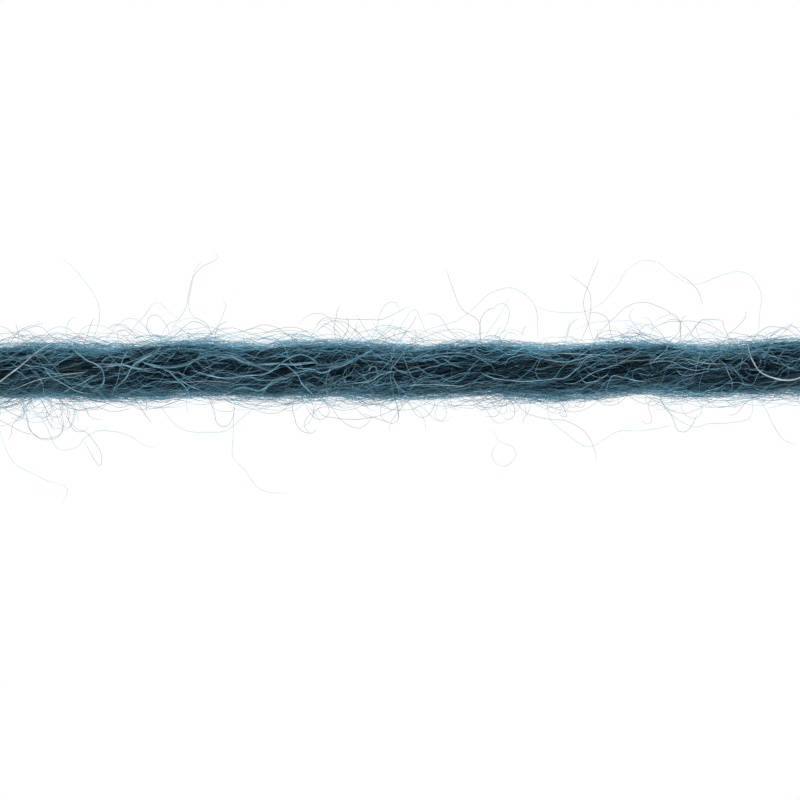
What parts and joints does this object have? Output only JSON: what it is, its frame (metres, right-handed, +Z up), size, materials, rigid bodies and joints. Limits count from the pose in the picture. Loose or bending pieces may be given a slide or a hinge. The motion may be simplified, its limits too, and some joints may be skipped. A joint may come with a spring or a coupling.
{
  "type": "cut length of knitting yarn",
  "caption": "Short straight cut length of soft plied wool knitting yarn, dyed deep petrol blue, with a fuzzy surface, lying on its side.",
  "frame": {"origin": "centre of the footprint, on the surface that the yarn lies on", "axes": "+X along the strand, +Z up, away from the surface"},
  "size_m": [0.06, 0.004, 0.0038],
  "materials": {
    "wool": "matt dyed wool with a soft halo of loose fibres"
  },
  "bodies": {
    "root": {"strand": "wool"}
  },
  "joints": []
}
